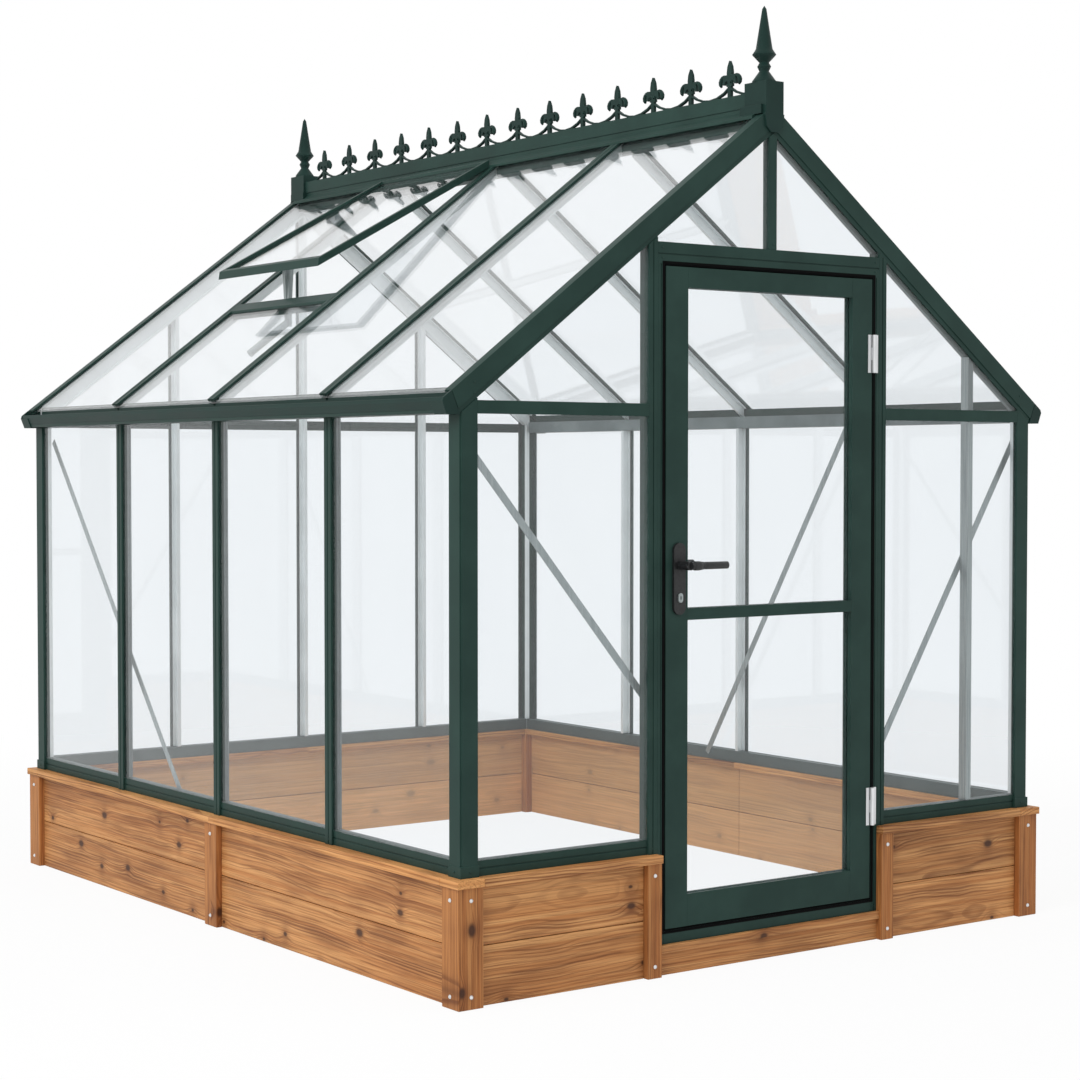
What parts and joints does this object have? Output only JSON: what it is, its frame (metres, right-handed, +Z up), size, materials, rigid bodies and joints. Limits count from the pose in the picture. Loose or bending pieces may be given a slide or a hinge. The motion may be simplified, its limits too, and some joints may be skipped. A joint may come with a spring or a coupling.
{
  "type": "glass greenhouse",
  "caption": "Free-standing glass greenhouse with a green aluminium frame on a boarded wooden plinth, a hinged door with a lever handle, an open roof vent and a crested ridge.",
  "frame": {"origin": "centre of the plinth's footprint, on the ground", "axes": "+Z up; -Y out through the door; X across the gable; the ridge runs along Y"},
  "size_m": [2.0606, 2.5375, 2.4855],
  "materials": {
    "cedar_wood": "satin",
    "green_paint": "satin",
    "mill_aluminium": "satin",
    "clear_glass": "gloss",
    "black_paint": "satin",
    "bright_steel": "satin"
  },
  "bodies": {
    "building": {"left_plinth_boards": "cedar_wood", "right_plinth_boards": "cedar_wood", "back_plinth_boards": "cedar_wood", "front_plinth_boards": "cedar_wood", "plinth_corner_posts": "cedar_wood", "plinth_battens": "cedar_wood", "side_cap_rails": "cedar_wood", "end_cap_rails": "cedar_wood", "door_step": "cedar_wood", "left_sill": "green_paint", "right_sill": "green_paint", "front_sills": "green_paint", "back_sill": "green_paint", "corner_posts": "green_paint", "left_wall_bars": "green_paint", "right_wall_bars": "green_paint", "eave_rails": "green_paint", "gutter_floors": "green_paint", "gutter_faces": "green_paint", "gutter_end_caps": "green_paint", "front_verge_rafters": "green_paint", "back_verge_rafters": "green_paint", "left_roof_bars": "green_paint", "right_roof_bars": "green_paint", "ridge_beam": "green_paint", "ridge_cresting": "green_paint", "ridge_finials": "green_paint", "front_crossbars": "green_paint", "back_crossbars": "green_paint", "back_gable_bars": "green_paint", "king_post": "green_paint", "door_posts": "green_paint", "door_frame_sides": "green_paint", "door_frame_head": "green_paint", "door_threshold": "green_paint", "vent_frame": "green_paint", "vent_trimmer": "green_paint", "front_gable_stud": "mill_aluminium", "wall_braces": "mill_aluminium", "vent_opener": "mill_aluminium", "vent_glass": "clear_glass", "left_wall_glass": "clear_glass", "right_wall_glass": "clear_glass", "front_gable_glass": "clear_glass", "back_gable_glass": "clear_glass", "left_roof_glass": "clear_glass", "right_roof_glass": "clear_glass", "hinge_frame_leaves": "bright_steel"},
    "door": {"door_stiles": "green_paint", "door_rails": "green_paint", "door_glass": "clear_glass", "handle_plates": "black_paint", "lock_cylinders": "bright_steel", "hinge_door_leaves": "bright_steel"},
    "lever": {"door_lever": "black_paint"}
  },
  "joints": [
    {"name": "door_swing", "type": "hinge", "parent": "building", "child": "door", "pos_m": [0.3595, -1.23225, 0.978], "axis": [0, 0, 1], "range_deg": [0, 140]},
    {"name": "lever_turn", "type": "hinge", "parent": "door", "child": "lever", "pos_m": [-0.317, -1.209, 1.037], "axis": [0, 1, 0], "range_deg": [0, 45], "stiffness_Nm_per_rad": 1.5, "springref_deg": -22.92}
  ]
}
